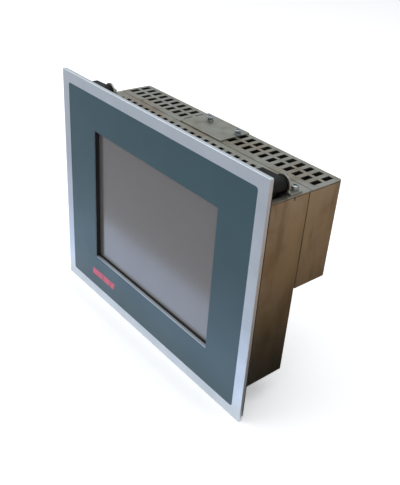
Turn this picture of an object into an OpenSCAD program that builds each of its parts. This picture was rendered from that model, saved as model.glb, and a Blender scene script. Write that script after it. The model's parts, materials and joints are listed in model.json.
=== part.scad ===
// Built-in operator panel: a front plate with a touch window, a sheet-metal
// computer housing behind it and four swing clamps that hold it in a cut-out.
// Millimetres. +X right as seen by the operator, +Y into the cabinet, +Z up.
// The origin is the centre of the cut-out on the outer face of the cabinet
// sheet, which is where the gasket's rear face rests.

/* [Front plate] */
// Width of the front plate
panel_w = 343; // [336:1:420]
// Height of the front plate
panel_h = 280; // [274:2:360]
// Thickness of the front plate
plate_t = 4; // [3:0.5:6]
// Corner radius of the front plate
plate_corner_r = 1.5; // [0.5:0.5:6]
// Chamfer round the front edge of the plate
plate_chamfer = 0.5; // [0.2:0.1:1]
// Bare metal border round the printed overlay
border_w = 13; // [8:1:16]
// Corner radius of the printed overlay
overlay_r = 3; // [1:0.5:8]
// Thickness of the printed overlay, and depth of its pocket
overlay_t = 0.4; // [0.2:0.1:0.8]
// Width of the coloured mark on the overlay
mark_w = 49; // [20:1:60]
// Height of the coloured mark on the overlay
mark_h = 9; // [3:0.5:12]

/* [Touch window and display] */
// Width of the touch window
window_w = 215.5; // [190:0.5:220]
// Height of the touch window
window_h = 167.5; // [140:0.5:170]
// How far the window's centre is right of the plate's centre
window_x = 3.1; // [-4:0.1:4]
// How far the window's centre is above the plate's centre
window_z = 2.3; // [-4:0.1:4]
// How much lower the overlay ends than the plate's window, as a bare strip
bare_strip = 1.2; // [0.4:0.1:2]
// Corner radius of the touch window
window_r = 1.5; // [0.5:0.5:4]
// Thickness of the seal between the plate and the touch glass
seal_t = 1.8; // [1:0.1:3]
// Thickness of the seal's lip along the window's walls
lip_t = 0.8; // [0.6:0.1:1.2]
// How far the touch glass reaches past the window on each side
glass_margin = 6; // [4:0.5:8]
// Thickness of the touch glass
glass_t = 2.2; // [1.5:0.1:3]
// Thickness of the display module
lcd_t = 9; // [7:0.5:12]
// How far the display's frame reaches past the window on each side
lcd_margin = 13.5; // [10:0.5:14]
// Width of the metal frame's lip in front of the display
lcd_lip = 12; // [8:0.5:13]

/* [Housing] */
// Outer width of the housing
body_w = 317; // [300:1:319]
// Height of the housing's top above the cut-out's centre
body_top = 105; // [103:0.5:112]
// Depth of the housing's bottom below the cut-out's centre
body_bottom = 110.5; // [106:0.5:116]
// Thickness of the housing's sheet metal
sheet_t = 1.5; // [1:0.1:2]
// How far the full-height tray reaches behind the cabinet sheet's outer face
tray_rear = 61.5; // [56:0.5:80]
// Depth of the upper box behind the tray
box_depth = 46; // [42:1:70]
// Height of the upper box
box_h = 110; // [106:0.5:120]
// Thickness of the gasket behind the front plate
gasket_t = 3.5; // [2:0.5:5]
// Width of the gasket strip
gasket_w = 8; // [5:0.5:9]

/* [Vent slots] */
// Width of one vent slot
slot_w = 6.5; // [4:0.5:8]
// Length of one vent slot
slot_l = 12; // [8:0.5:13]
// Length of a slot in the tray's rearmost row
short_slot_l = 6; // [4:0.5:8]
// Distance between slot centres across the housing
slot_pitch = 12; // [10:0.5:16]
// Distance between rows of slots
row_pitch = 16; // [15:0.5:18]

/* [Swing clamps] */
// Distance of each upper clamp's pivot from the middle of the panel
clamp_x = 144; // [138:0.5:146]
// Distance of each lower clamp's pivot from the middle of the panel
low_clamp_x = 134; // [124:0.5:140]
// Height of each clamp's pivot above the housing
clamp_rise = 8; // [8:0.5:10]
// Radius of the lever round its pivot
lever_r = 7.2; // [6:0.2:7.4]
// Radius of the lever's free end
lever_end_r = 6; // [5.2:0.2:7]
// Distance from the lever's pivot to its clamping screw
lever_reach = 24.5; // [20:0.5:30]
// Thickness of the clamp's bracket
bracket_t = 2; // [1.5:0.5:3]
// Radius of the bracket's round ear
ear_r = 9.5; // [8:0.5:11]
// Radius of the pivot pin
pin_r = 3; // [2:0.25:4]
// Radius of the clamping screw
clamp_screw_r = 2.5; // [1.5:0.25:3]
// Travel of the clamping screw
clamp_travel = 10; // [6:0.5:12]
// Thinnest cabinet sheet that the thrust pads can reach
thinnest_sheet = 1.2; // [1:0.1:2]
// Radial clearance where the pin and the screw turn
running_gap = 0.05; // [0.02:0.01:0.1]

/* [Connections] */
// Distance between the round contacts of the power inlet
power_pitch = 5.08; // [5.08, 7.62]
// Thickness of the circuit boards
board_t = 1.6; // [1:0.2:2.4]
// Height of the spacers under the circuit boards
spacer_h = 6; // [4:0.5:8]

/* [Hidden] */
$fn = 48;
// how far a pin runs into the wall that holds it
eps = 0.01;
// free space left between pieces that aren't meant to touch
gap = 0.3;
// radial clearance of a screw, rivet or pin in its own hole
fit_gap = 0.02;

plate_back = -gasket_t;
plate_front = plate_back - plate_t;
seal_back = plate_back + seal_t;
glass_back = seal_back + glass_t;
lcd_front = glass_back + 0.8;
lcd_back = lcd_front + lcd_t;
lcd_skin = 1;
overlay_w = panel_w - 2 * border_w;
overlay_h = panel_h - 2 * border_w;
glass_w = window_w + 2 * glass_margin;
glass_h = window_h + 2 * glass_margin;
lcd_w = window_w + 2 * lcd_margin;
lcd_h = window_h + 2 * lcd_margin - 8;
gasket_out_w = panel_w - 4;
gasket_out_h = panel_h - 4;

body_x = body_w / 2;
body_mid = (body_top - body_bottom) / 2;
box_rear = tray_rear + box_depth;
box_bottom = body_top - box_h;
flange_w = 10;
seam_w = 1;
seam_d = 1;
joint_w = 1.4;
seam_z = body_top - 1.1;
// the groove across the top, a little behind the tray's rear wall
groove_d = 0.7;
groove_y0 = tray_rear + 2.8;
groove_y1 = tray_rear + 4;
// each row of slots is centred a little left of the panel's middle
slot_shift = -1;

// studs on the plate: along the housing's flange and beside the display
stud_r = 2;
stud_len = 10;
stud_x = body_x - sheet_t - flange_w / 2;
stud_top = body_top - sheet_t - flange_w / 2;
stud_bottom = -body_bottom + sheet_t + flange_w / 2;
flange_studs = [
    for (x = [-stud_x, -stud_x / 3, stud_x / 3, stud_x], z = [stud_bottom, stud_top]) [x, z],
    for (x = [-stud_x, stud_x]) [x, body_mid]
];
lcd_foot = 14;
lcd_stud_x = lcd_w / 2 + lcd_foot / 2;
lcd_studs = [
    for (sx = [-1, 1], z = [-lcd_h / 3, lcd_h / 3]) [window_x + sx * lcd_stud_x, window_z + z]
];

// rows of vent slots, measured forward from the box's rear face
slot_half = floor((body_x - 8) / slot_pitch - 0.5);
box_row_1 = box_rear - 11.3;
box_row_2 = box_row_1 - row_pitch;
tray_row_1 = tray_rear - 7.25;
tray_row_2 = tray_row_1 - row_pitch + (slot_l - short_slot_l) / 2;
tray_row_3 = tray_row_2 - row_pitch;

// cover plate on the upper box
cover_x0 = -42;
cover_x1 = 27;
cover_y0 = groove_y1 + 0.2;
cover_t = 1.5;
cover_holes = [[-24.4, box_rear - 13.2], [21.8, box_rear - 13.2]];
hatch_inset = 9;

// clamps: bracket ear, lever, pad and screw along Y
ear_y0 = tray_rear - 23;
ear_y1 = ear_y0 + bracket_t;
lever_y1 = ear_y0 - gap;
pad_t = 2.2;
pad_y0 = thinnest_sheet + clamp_travel;
pad_y1 = pad_y0 + pad_t;
lever_y0 = pad_y1 + gap;
pad_r = 4.5;
tip_r = 1.6;
// distance of a clamp's pivot from the middle, by side
function pivot_x(top) = top ? clamp_x : low_clamp_x;
foot_w = 21;
foot_shift = 2;
foot_len = 15.5;
foot_screw_x = 7;
foot_screw_y = ear_y0 + 10;

// circuit boards behind the tray's rear wall
board_y0 = tray_rear + spacer_h;
board_y1 = board_y0 + board_t;
main_x0 = -58;
main_x1 = 128;
main_z0 = box_bottom + 3;
main_z1 = body_top - sheet_t - 9;
power_x0 = -150;
power_x1 = -72;
port_y0 = board_y1;
port_mouth = box_bottom - 0.5;
inverter_y0 = tray_rear - sheet_t - spacer_h - board_t;
inverter_z0 = -body_bottom + sheet_t + 6;
inverter_z1 = inverter_z0 + 20;
inverter_x0 = -72;
inverter_x1 = 72;
cable_window_w = 64;
cable_window_h = 24;
cable_z = 46;
memory_x0 = -46;
memory_w = 67.6;
memory_z0 = main_z0 + 26;
card_w = 42.8;
card_x0 = (cover_x0 + cover_x1 - card_w) / 2;
card_z0 = body_top - sheet_t - 42;
drive_w = 100;
drive_h = 70;
drive_x0 = -130;
drive_z0 = -58;

// small hardware
foot_screw_r = 1.5;
cover_screw_r = 2;
lug_w = 10;
lug_t = 3;
lug_ys = [tray_rear + 14, box_rear - 8];
rivet_x = 120;
rivet_y = groove_y1 + 3.5;
rivet_r = 1.2;
earth_x = -140;
earth_z = -body_bottom + 14;
earth_r = 2;
earth_len = 12;

// ---------------------------------------------------------------- shapes

// A flat shape drawn as x and z, made t thick from y0 towards the cabinet
module slab(y0, t) {
    translate([0, y0 + t, 0])
        rotate([90, 0, 0])
            linear_extrude(t) children();
}

// A rod along Y from y0 to y1 at a place given as x and z
module rod(x, z, r, y0, y1, sides = $fn) {
    translate([x, y1, z])
        rotate([90, 0, 0])
            cylinder(r = r, h = y1 - y0, $fn = sides);
}

// A cuboid given by its two opposite corners
module block(low, high) {
    translate(low) cube(high - low);
}

// A rectangle with true round corners
module round_rect(w, h, r) {
    square([w - 2 * r, h], center = true);
    square([w, h - 2 * r], center = true);
    for (sx = [-1, 1], sy = [-1, 1])
        translate([sx * (w / 2 - r), sy * (h / 2 - r)]) circle(r);
}

// Two circles of radii ra and rb, d apart along X, joined by straight sides that
// lie a little inside their common tangents and so meet them at a clear edge
module lobe(ra, rb, d) {
    inset = 0.97;
    a = asin((ra - rb) / d);
    side = inset * [sin(a), cos(a)];
    flip = [side[0], -side[1]];
    circle(ra);
    translate([d, 0]) circle(rb);
    polygon([ra * side, ra * flip, [d, 0] + rb * flip, [d, 0] + rb * side]);
}

// A cross-recessed pan-head screw standing along +Z, with its head's seat at 0
module pan_screw(r, len, head_r, head_h) {
    difference() {
        cylinder(r = head_r, h = head_h);
        for (a = [0, 90])
            rotate([0, 0, a])
                translate([-head_r * 0.62, -0.35, head_h - 0.9])
                    cube([head_r * 1.24, 0.7, 1]);
    }
    translate([0, 0, -len]) cylinder(r = r, h = len);
}

// Middle of slot i in any row
function slot_x(i) = (i - 0.5) * slot_pitch + slot_shift;

// Slots of length l through a level sheet whose middle is at height z, in one row
// at depth y
module slot_row(y, z, l, half) {
    for (i = [-half : half + 1])
        translate([slot_x(i) - slot_w / 2, y - l / 2, z - sheet_t])
            cube([slot_w, l, 2 * sheet_t]);
}

// A pan-head screw that stands on a flat washer and a spring washer
module washer_screw(len) {
    washer_r = 4.4;
    washer_t = 0.8;
    spring_r = 3.6;
    head_z = washer_t + 1;
    head_r = 3.8;
    head_h = 3.4;
    cylinder(r = washer_r, h = washer_t);
    cylinder(r = spring_r, h = head_z);
    translate([0, 0, head_z]) pan_screw(cover_screw_r, len + head_z, head_r, head_h);
}

// ---------------------------------------------------------------- front

module front_plate() {
    bevel = plate_chamfer * sqrt(2);
    color("#b3bcc3") difference() {
        slab(plate_front, plate_t) round_rect(panel_w, panel_h, plate_corner_r);
        slab(plate_front - 1, 1 + overlay_t) round_rect(overlay_w, overlay_h, overlay_r);
        translate([window_x, 0, window_z])
            slab(plate_front - 1, plate_t + 2) round_rect(window_w, window_h, window_r);
        for (s = [-1, 1]) {
            translate([0, plate_front, s * panel_h / 2])
                rotate([45, 0, 0])
                    cube([panel_w + 2, bevel, bevel], center = true);
            translate([s * panel_w / 2, plate_front, 0])
                rotate([0, 0, 45])
                    cube([bevel, bevel, panel_h + 2], center = true);
        }
    }
}

module front_overlay() {
    edge = 0.05;
    color("#4a5e6c") difference() {
        slab(plate_front, overlay_t)
            round_rect(overlay_w - 2 * edge, overlay_h - 2 * edge, overlay_r);
        translate([window_x, 0, window_z - bare_strip / 2])
            slab(plate_front - 1, overlay_t + 2)
                round_rect(window_w, window_h + bare_strip, window_r);
    }
}

// Three plain slanted bars of falling length, printed proud of the overlay
module front_mark() {
    mark_t = 0.1;
    lean = 2;
    lengths = [0.46, 0.3, 0.18];
    step = 0.025 * mark_w;
    starts = [0, lengths[0] * mark_w + step, (lengths[0] + lengths[1]) * mark_w + 2 * step];
    color("#c8354b")
        translate([-panel_w / 2 + 58, 0, -panel_h / 2 + 29.5])
            slab(plate_front - mark_t, mark_t)
                for (i = [0 : 2]) {
                    l = lengths[i] * mark_w;
                    translate([starts[i], 0])
                        polygon([[0, 0], [l, 0], [l + lean, mark_h], [lean, mark_h]]);
                }
}

module panel_gasket() {
    color("#161616") slab(plate_back, gasket_t) difference() {
        round_rect(gasket_out_w, gasket_out_h, 3);
        round_rect(gasket_out_w - 2 * gasket_w, gasket_out_h - 2 * gasket_w, 1.5);
    }
}

// The frame-shaped seal of the touch glass, with a lip that lines the window's walls
module window_seal() {
    bare_edge = 0.5;
    slack = 0.1;
    lip_y0 = plate_front + overlay_t + bare_edge;
    color("#0f0f10") translate([window_x, 0, window_z]) difference() {
        union() {
            slab(plate_back, seal_t) square([glass_w, glass_h], center = true);
            slab(lip_y0, plate_back + 0.2 - lip_y0)
                round_rect(window_w - slack, window_h - slack, window_r);
        }
        slab(lip_y0 - 1, plate_t + seal_t + 2)
            round_rect(window_w - 2 * lip_t, window_h - 2 * lip_t, window_r);
        // the lower wall of the window stays bare
        translate([0, 0, -window_h / 2])
            slab(lip_y0 - 1, plate_back - lip_y0 + 1)
                square([window_w - 2 * lip_t, 2 * (lip_t + window_r)], center = true);
    }
}

module touch_glass() {
    color("#77797c") translate([window_x, 0, window_z])
        slab(seal_back, glass_t) round_rect(glass_w, glass_h, 1);
}

// The flat lead of the touch glass, from its lower edge back to the inverter board
module touch_tail() {
    low = window_z - glass_h / 2;
    run = window_z - max(glass_h, lcd_h) / 2 - 2;
    t = 0.3;
    y0 = glass_back - 2 * t;
    color("#c08a3a") translate([-62, 0, 0]) rotate([90, 0, 90]) linear_extrude(14)
        polygon([
            [y0, low], [y0, run], [inverter_y0, run],
            [inverter_y0, run + t], [y0 + t, run + t], [y0 + t, low]
        ]);
}

// ---------------------------------------------------------------- display

module lcd_frame() {
    color("#9aa0a4") translate([window_x, 0, window_z]) {
        slab(lcd_front, lcd_skin) difference() {
            square([lcd_w, lcd_h], center = true);
            square([lcd_w - 2 * lcd_lip, lcd_h - 2 * lcd_lip + 4], center = true);
        }
        slab(lcd_front, lcd_t) difference() {
            square([lcd_w, lcd_h], center = true);
            square([lcd_w - 2 * lcd_skin, lcd_h - 2 * lcd_skin], center = true);
        }
    }
}

module lcd_panel() {
    color("#202224") translate([window_x, 0, window_z])
        slab(lcd_front + lcd_skin, 2)
            square([lcd_w - 2 * lcd_skin - 2 * gap, lcd_h - 2 * lcd_skin - 2 * gap], center = true);
}

module backlight_unit() {
    y0 = lcd_front + lcd_skin + 2;
    color("#d8d8d2") translate([window_x, 0, window_z])
        slab(y0, lcd_back - y0)
            square([lcd_w - 2 * lcd_skin - 2 * gap, lcd_h - 2 * lcd_skin - 2 * gap], center = true);
}

// Two folded straps that hold the display module against the plate's studs
module lcd_brackets() {
    t = sheet_t;
    side = lcd_w / 2;
    half = lcd_h / 2 - 10;
    color("#a8adb0") for (sx = [-1, 1]) {
        translate([window_x, 0, window_z]) mirror([sx < 0 ? 1 : 0, 0, 0]) difference() {
            union() {
                block([side, plate_back, -half], [side + lcd_foot, plate_back + t, half]);
                block([side, plate_back, -half], [side + t, lcd_back + t, half]);
                block([side - 10, lcd_back, -half], [side + t, lcd_back + t, half]);
            }
            for (z = [-lcd_h / 3, lcd_h / 3])
                rod(lcd_stud_x, z, stud_r + gap, plate_back - 1, plate_back + t + 1);
        }
    }
}

// Threaded studs pressed into the rear of the plate
module front_studs() {
    color("#c4c6c8") for (p = concat(flange_studs, lcd_studs))
        rod(p[0], p[1], stud_r, plate_back, plate_back + stud_len);
}

module stud_nuts() {
    nut_r = 4;
    nut_t = 3.2;
    seat = plate_back + sheet_t;
    color("#b8babd") for (p = concat(flange_studs, lcd_studs))
        difference() {
            rod(p[0], p[1], nut_r, seat, seat + nut_t, 6);
            rod(p[0], p[1], stud_r + fit_gap, seat - 1, seat + nut_t + 1);
        }
}

// ---------------------------------------------------------------- housing

// A slot is left out where the cover plate lies over it
module box_slots(y) {
    for (i = [-slot_half : slot_half + 1]) {
        x = slot_x(i);
        if (x < cover_x0 + slot_w / 2 || x > cover_x1)
            translate([x - slot_w / 2, y - slot_l / 2, body_top - 1.5 * sheet_t])
                cube([slot_w, slot_l, 2 * sheet_t]);
    }
}

module tray_shell() {
    inner = body_x - sheet_t;
    mouth = inner - flange_w;
    rear_wall = tray_rear - sheet_t;
    color("#7d7466") difference() {
        block([-body_x, plate_back, -body_bottom], [body_x, tray_rear, body_top]);
        block([-inner, plate_back + sheet_t, -body_bottom + sheet_t],
              [inner, rear_wall, body_top - sheet_t]);
        block([-mouth, plate_back - 1, -body_bottom + sheet_t + flange_w],
              [mouth, rear_wall, body_top - sheet_t - flange_w]);
        for (top = [true, false]) {
            z = top ? body_top - sheet_t / 2 : -body_bottom + sheet_t / 2;
            clear_x = pivot_x(top) + foot_shift - foot_w / 2 - slot_w;
            half = floor(clear_x / slot_pitch - 0.5);
            slot_row(tray_row_1, z, short_slot_l, half);
            slot_row(tray_row_2, z, slot_l, half);
            slot_row(tray_row_3, z, slot_l, slot_half);
        }
        for (p = flange_studs)
            rod(p[0], p[1], stud_r + gap, plate_back - 1, plate_back + sheet_t + 1);
        for (sx = [-1, 1], top = [true, false])
            translate([sx * (pivot_x(top) + foot_screw_x), foot_screw_y,
                       (top ? body_top : -body_bottom) - 5])
                cylinder(r = cover_screw_r + fit_gap, h = 10);
        // opening for the display cable
        translate([30, 0, cable_z])
            slab(rear_wall - 1, sheet_t + 2) square([cable_window_w, cable_window_h], center = true);
        side_seams(plate_back, tray_rear);
        // relief notch in each side wall where the top sheet is folded down
        for (s = [-1, 1])
            block([s * body_x - 2, ear_y1 + 1, seam_z - 3.5], [s * body_x + 2, ear_y1 + 2.5, seam_z]);
    }
}

// The fine groove under the top sheet's edge on both sides
module side_seams(y0, y1) {
    for (s = [-1, 1])
        translate([s * body_x, (y0 + y1) / 2, seam_z])
            cube([2 * seam_d, y1 - y0 + 2, seam_w], center = true);
}

module rear_box() {
    inner = body_x - sheet_t;
    bend_r = 2.5;
    color("#8a8474") difference() {
        union() {
            difference() {
                translate([0, 0, box_bottom]) linear_extrude(box_h) {
                    translate([-body_x, tray_rear]) square([body_w, box_depth - bend_r]);
                    translate([-body_x + bend_r, tray_rear]) square([body_w - 2 * bend_r, box_depth]);
                    for (s = [-1, 1])
                        translate([s * (body_x - bend_r), box_rear - bend_r]) circle(bend_r);
                }
                block([-inner, tray_rear - 1, box_bottom - 1],
                      [inner, box_rear - sheet_t, body_top - sheet_t]);
            }
            for (sx = [-1, 1], y = lug_ys)
                translate([sx * (inner - lug_w / 2), y, box_bottom + sheet_t + lug_t / 2])
                    cube([lug_w, lug_w, lug_t], center = true);
        }
        box_slots(box_row_1);
        box_slots(box_row_2);
        side_seams(tray_rear, box_rear);
        // the joint between the tray and the box shows as a groove
        for (s = [-1, 1])
            block([s * body_x - seam_d, tray_rear - 1, box_bottom - 1],
                  [s * body_x + seam_d, tray_rear + joint_w, body_top + 1]);
        block([-body_x - 1, groove_y0, body_top - groove_d],
              [body_x + 1, groove_y1, body_top + 1]);
        block([cover_x0 + hatch_inset, cover_y0 + hatch_inset, body_top - 2 * sheet_t],
              [cover_x1 - hatch_inset, cover_holes[0][1] - 5, body_top + 1]);
        for (p = cover_holes)
            translate([p[0], p[1], body_top - 5]) cylinder(r = cover_screw_r + fit_gap, h = 10);
        for (s = [-1, 1])
            translate([s * rivet_x, rivet_y, body_top - 5]) cylinder(r = rivet_r + fit_gap, h = 10);
        for (sx = [-1, 1], y = lug_ys)
            translate([sx * (inner - lug_w / 2), y, box_bottom - 1])
                cylinder(r = foot_screw_r + fit_gap, h = 12);
    }
}

// The plate under the upper box that the connectors reach through
module io_plate() {
    inner = body_x - sheet_t;
    cut = 0.4;
    color("#9b9a90") difference() {
        block([-inner, tray_rear, box_bottom], [inner, box_rear - sheet_t, box_bottom + sheet_t]);
        for (p = PORTS)
            block([p[0] - p[1] / 2 - cut, port_y0 + p[3] - cut, box_bottom - 1],
                  [p[0] + p[1] / 2 + cut, port_y0 + p[3] + p[2] + cut, box_bottom + 3]);
        for (sx = [-1, 1], y = lug_ys)
            translate([sx * (inner - lug_w / 2), y, box_bottom - 1])
                cylinder(r = foot_screw_r + gap, h = 12);
    }
}

module top_cover_plate() {
    color("#a6a89f") difference() {
        block([cover_x0, cover_y0, body_top], [cover_x1, box_rear, body_top + cover_t]);
        for (p = cover_holes)
            translate([p[0], p[1], body_top - 1]) cylinder(r = cover_screw_r + gap, h = 5);
    }
}

module cover_screws() {
    color("#c9cbcc") for (p = cover_holes)
        translate([p[0], p[1], body_top + cover_t])
            rotate([0, 0, 20]) washer_screw(6);
}

// One screw in the foot of each clamp bracket
module bracket_screws() {
    color("#c9cbcc") for (sx = [-1, 1], top = [true, false]) corner(sx, top)
        translate([sx * foot_screw_x, foot_screw_y, bracket_t - clamp_rise])
            rotate([0, 0, 30]) washer_screw(6);
}

// Screws through the connection plate into the upper box's lugs
module housing_screws() {
    color("#c9cbcc") for (sx = [-1, 1], y = lug_ys)
        translate([sx * (body_x - sheet_t - lug_w / 2), y, box_bottom])
            mirror([0, 0, 1]) pan_screw(foot_screw_r, 4, 2.8, 2.2);
}

module seam_rivets() {
    color("#9fa09a") for (s = [-1, 1])
        translate([s * rivet_x, rivet_y, body_top]) {
            cylinder(r = rivet_r + 0.9, h = 0.5);
            translate([0, 0, -sheet_t - 1]) cylinder(r = rivet_r, h = sheet_t + 1);
        }
}

// Threaded earthing stud on the tray's rear wall, with its collar
module earth_stud() {
    color("#c8b26a") {
        rod(earth_x, earth_z, earth_r, tray_rear, tray_rear + earth_len + 2);
        rod(earth_x, earth_z, earth_r + 2, tray_rear, tray_rear + 2);
    }
}

module rating_label() {
    color("#dcdcd6") translate([60, 0, 60])
        slab(box_rear, 0.15) round_rect(90, 55, 2);
}

// ---------------------------------------------------------------- electronics

// Corners of a board, inset by d
function corners(x0, x1, z0, z1, d) = [for (x = [x0 + d, x1 - d], z = [z0 + d, z1 - d]) [x, z]];
main_holes = corners(main_x0, main_x1, main_z0 + 24, main_z1, 5);
power_holes = corners(power_x0, power_x1, main_z0 + 24, main_z1, 5);
inverter_holes = corners(inverter_x0, inverter_x1, inverter_z0, inverter_z1, 5);

module board(x0, x1, z0, z1, y0, holes) {
    difference() {
        block([x0, y0, z0], [x1, y0 + board_t, z1]);
        for (p = holes) rod(p[0], p[1], foot_screw_r + gap, y0 - 1, y0 + board_t + 1);
    }
}

module mainboard() {
    color("#2f6b45") {
        board(main_x0, main_x1, main_z0, main_z1, board_y0, main_holes);
        // socket of the memory module and the larger chips
        block([memory_x0 + 2, board_y1, memory_z0 - 6],
              [memory_x0 + memory_w - 2, board_y1 + 5, memory_z0]);
        block([30, board_y1, main_z0 + 62], [48, board_y1 + 2, main_z0 + 80]);
        block([30, board_y1, main_z0 + 32], [45, board_y1 + 1.6, main_z0 + 47]);
    }
}

module power_board() {
    color("#2f6b45") {
        board(power_x0, power_x1, main_z0, main_z1, board_y0, power_holes);
        block([power_x0 + 22, board_y1, 40], [power_x0 + 52, board_y1 + 20, 66]);
        for (x = [power_x0 + 14, power_x0 + 62])
            rod(x, 56, 6, board_y1, board_y1 + 22);
    }
}

module inverter_board() {
    color("#3b7a52") {
        board(inverter_x0, inverter_x1, inverter_z0, inverter_z1, inverter_y0, inverter_holes);
        block([0, inverter_y0 - 7, inverter_z0 + 2], [30, inverter_y0, inverter_z0 + 16]);
    }
}

module spacer(x, z, y0) {
    difference() {
        rod(x, z, 3.2, y0, y0 + spacer_h, 6);
        rod(x, z, foot_screw_r + fit_gap, y0 - 1, y0 + spacer_h + 1);
    }
}

module board_standoffs() {
    color("#b9a25a") {
        for (p = concat(main_holes, power_holes)) spacer(p[0], p[1], tray_rear);
        for (p = inverter_holes) spacer(p[0], p[1], inverter_y0 + board_t);
    }
}

module board_screws() {
    color("#c9cbcc") {
        for (p = concat(main_holes, power_holes))
            translate([p[0], board_y1, p[1]]) rotate([-90, 0, 0]) pan_screw(foot_screw_r, 5, 2.8, 2);
        for (p = inverter_holes)
            translate([p[0], inverter_y0, p[1]]) rotate([90, 0, 0]) pan_screw(foot_screw_r, 5, 2.8, 2);
    }
}

// Finned cooler on the processor, its fins upright in the air stream
module cpu_heat_sink() {
    fins = 10;
    w = 56;
    fin_t = 1.6;
    color("#a3a7aa") translate([60, board_y1, main_z0 + 26]) {
        block([18, 0, 20], [38, 3, 40]);
        block([0, 3, 0], [w, 7, 62]);
        for (i = [0 : fins - 1])
            translate([i * (w - fin_t) / (fins - 1), 7, 0]) cube([fin_t, 17, 62]);
    }
}

module memory_module() {
    color("#356f4a") {
        block([memory_x0, board_y1 + 1.6, memory_z0],
              [memory_x0 + memory_w, board_y1 + 2.6, memory_z0 + 28]);
        for (i = [0 : 3])
            block([memory_x0 + 5 + 15.5 * i, board_y1 + 2.6, memory_z0 + 6],
                  [memory_x0 + 17 + 15.5 * i, board_y1 + 3.8, memory_z0 + 22]);
    }
}

module card_socket() {
    color("#1d1d1f") difference() {
        block([card_x0 - 3, board_y1, card_z0 - 4],
              [card_x0 + card_w + 3, board_y1 + 6, card_z0 + 10]);
        block([card_x0 - 0.1, board_y1 + 1.3, card_z0],
              [card_x0 + card_w + 0.1, board_y1 + 4.8, card_z0 + 11]);
    }
}

module memory_card() {
    color("#3a3a3e")
        block([card_x0, board_y1 + 1.4, card_z0], [card_x0 + card_w, board_y1 + 4.7, card_z0 + 30]);
}

module drive_bracket() {
    y1 = tray_rear - sheet_t;
    t = 1.2;
    color("#a8adb0") {
        block([drive_x0 - t, y1 - t, drive_z0], [drive_x0 + drive_w + t, y1, drive_z0 + drive_h]);
        for (x = [drive_x0 - t, drive_x0 + drive_w])
            block([x, y1 - 18, drive_z0], [x + t, y1, drive_z0 + drive_h]);
    }
}

module disk_drive() {
    y1 = tray_rear - sheet_t - 5;
    color("#6d7074")
        block([drive_x0, y1 - 9.5, drive_z0], [drive_x0 + drive_w, y1, drive_z0 + drive_h]);
}

// Flat display cable from the display module back through the tray's window
module display_cable() {
    color("#b8b8b0") block([12, lcd_back, cable_z - 0.5], [48, board_y0, cable_z + 0.5]);
}

// ---------------------------------------------------------------- connectors

// Each port: middle x, width, depth along Y, and set-off from the board's face
PORTS = [
    [6, 16.2, 13.5, 0], [24, 16.2, 13.5, 0], [46, 13.2, 15.6, 0],
    [74, 25, 9, 2], [110, 18, 9, 2], [-111, 3 * power_pitch + 5, 12, 0]
];

module ethernet_ports() {
    color("#a9acae") for (i = [0, 1]) {
        x = PORTS[i][0];
        w = PORTS[i][1];
        difference() {
            block([x - w / 2, port_y0, port_mouth],
                  [x + w / 2, port_y0 + PORTS[i][2], port_mouth + 21]);
            block([x - 5.9, port_y0 + 2, port_mouth - 1], [x + 5.9, port_y0 + 9.5, port_mouth + 13]);
            block([x - 3, port_y0 + 9, port_mouth - 1], [x + 3, port_y0 + 11.5, port_mouth + 8]);
        }
    }
}

module usb_ports() {
    x = PORTS[2][0];
    color("#b3b6b8") difference() {
        block([x - 6.6, port_y0, port_mouth], [x + 6.6, port_y0 + 15.6, port_mouth + 17.5]);
        for (y = [port_y0 + 1.4, port_y0 + 9.1]) difference() {
            block([x - 6.25, y, port_mouth - 1], [x + 6.25, y + 5.1, port_mouth + 9]);
            block([x - 5.5, y + 2.9, port_mouth + 0.8], [x + 5.5, y + 4.7, port_mouth + 9]);
        }
    }
}

// A slanted-sided outline, w wide and d deep, with its wider side at +Y
module d_outline(w, d) {
    slant = 0.18 * d;
    polygon([[-w / 2 + slant, 0], [w / 2 - slant, 0], [w / 2, d], [-w / 2, d]]);
}

module dvi_port() {
    x = PORTS[3][0];
    color("#e6e6e2") {
        block([x - 18.5, port_y0, box_bottom + sheet_t],
              [x + 18.5, port_y0 + 12.5, box_bottom + sheet_t + 12]);
        difference() {
            translate([x, port_y0 + 2, box_bottom - 5]) linear_extrude(5 + sheet_t) d_outline(25, 9);
            for (i = [0 : 7], j = [0 : 2])
                translate([x - 9.5 + i * 1.9, port_y0 + 4.2 + j * 1.9, box_bottom - 6]) cube([1, 1, 4]);
            translate([x + 6.5, port_y0 + 6.3, box_bottom - 6]) cube([4.6, 0.8, 4]);
        }
    }
}

module serial_port() {
    x = PORTS[4][0];
    color("#b3b6b8") {
        block([x - 15.4, port_y0, box_bottom + sheet_t],
              [x + 15.4, port_y0 + 12.5, box_bottom + sheet_t + 12]);
        difference() {
            translate([x, port_y0 + 2, box_bottom - 5]) linear_extrude(5 + sheet_t) d_outline(18, 9);
            translate([x, port_y0 + 2.6, box_bottom - 6]) linear_extrude(5.5) d_outline(16.6, 7.8);
        }
        for (i = [-2 : 2]) translate([x + i * 2.76, port_y0 + 8, box_bottom - 4.5])
            cylinder(r = 0.5, h = 4.5, $fn = 16);
        for (i = [-1.5 : 1.5]) translate([x + i * 2.76, port_y0 + 5.2, box_bottom - 4.5])
            cylinder(r = 0.5, h = 4.5, $fn = 16);
    }
}

module power_inlet() {
    x = PORTS[5][0];
    w = PORTS[5][1];
    color("#2f7d4c") difference() {
        block([x - w / 2, port_y0, port_mouth], [x + w / 2, port_y0 + 12, port_mouth + 14]);
        block([x - w / 2 + 1, port_y0 + 1.5, port_mouth - 1],
              [x + w / 2 - 1, port_y0 + 10.5, port_mouth + 9]);
    }
    color("#c4c6c8") for (i = [-1, 0, 1])
        block([x + i * power_pitch - 0.5, port_y0 + 3.3, port_mouth + 2],
              [x + i * power_pitch + 0.5, port_y0 + 4.3, port_mouth + 9 + eps]);
}

// ---------------------------------------------------------------- swing clamps

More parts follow.
